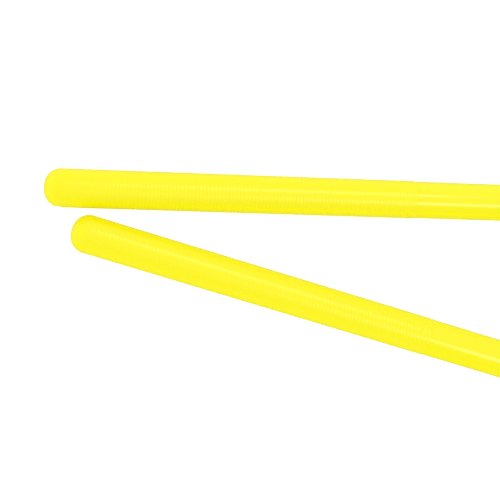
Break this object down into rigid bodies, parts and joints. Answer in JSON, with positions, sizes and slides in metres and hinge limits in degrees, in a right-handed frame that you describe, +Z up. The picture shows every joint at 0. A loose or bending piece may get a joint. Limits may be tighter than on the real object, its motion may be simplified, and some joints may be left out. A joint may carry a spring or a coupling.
{
  "type": "alignment stick",
  "caption": "Slim round golf alignment sticks laid in a narrow V: straight gloss yellow rods with ribbed dome-ended caps and ground points, used to mark aim and ball position.",
  "frame": {"origin": "middle of the pair's box, on the ground that the sticks lie on", "axes": "+X along the first stick from its domed cap to its point, +Z up; the second stick is turned 15.3 degrees clockwise, seen from above"},
  "size_m": [1.219, 0.3353, 0.0082],
  "materials": {
    "painted_rod": "gloss fluorescent yellow paint over a glass-fibre rod",
    "moulded_cap": "satin moulded fluorescent yellow vinyl with fine ribs"
  },
  "bodies": {
    "stick_a": {"stick_a_rod": "painted_rod", "stick_a_ribbed_cap": "moulded_cap"},
    "stick_b": {"stick_b_rod": "painted_rod", "stick_b_ribbed_cap": "moulded_cap"}
  },
  "joints": [
    {"name": "stick_b_lift", "type": "slide", "parent": "stick_a", "child": "stick_b", "axis": [0, 0, 1], "range_m": [0, 0.25]}
  ]
}
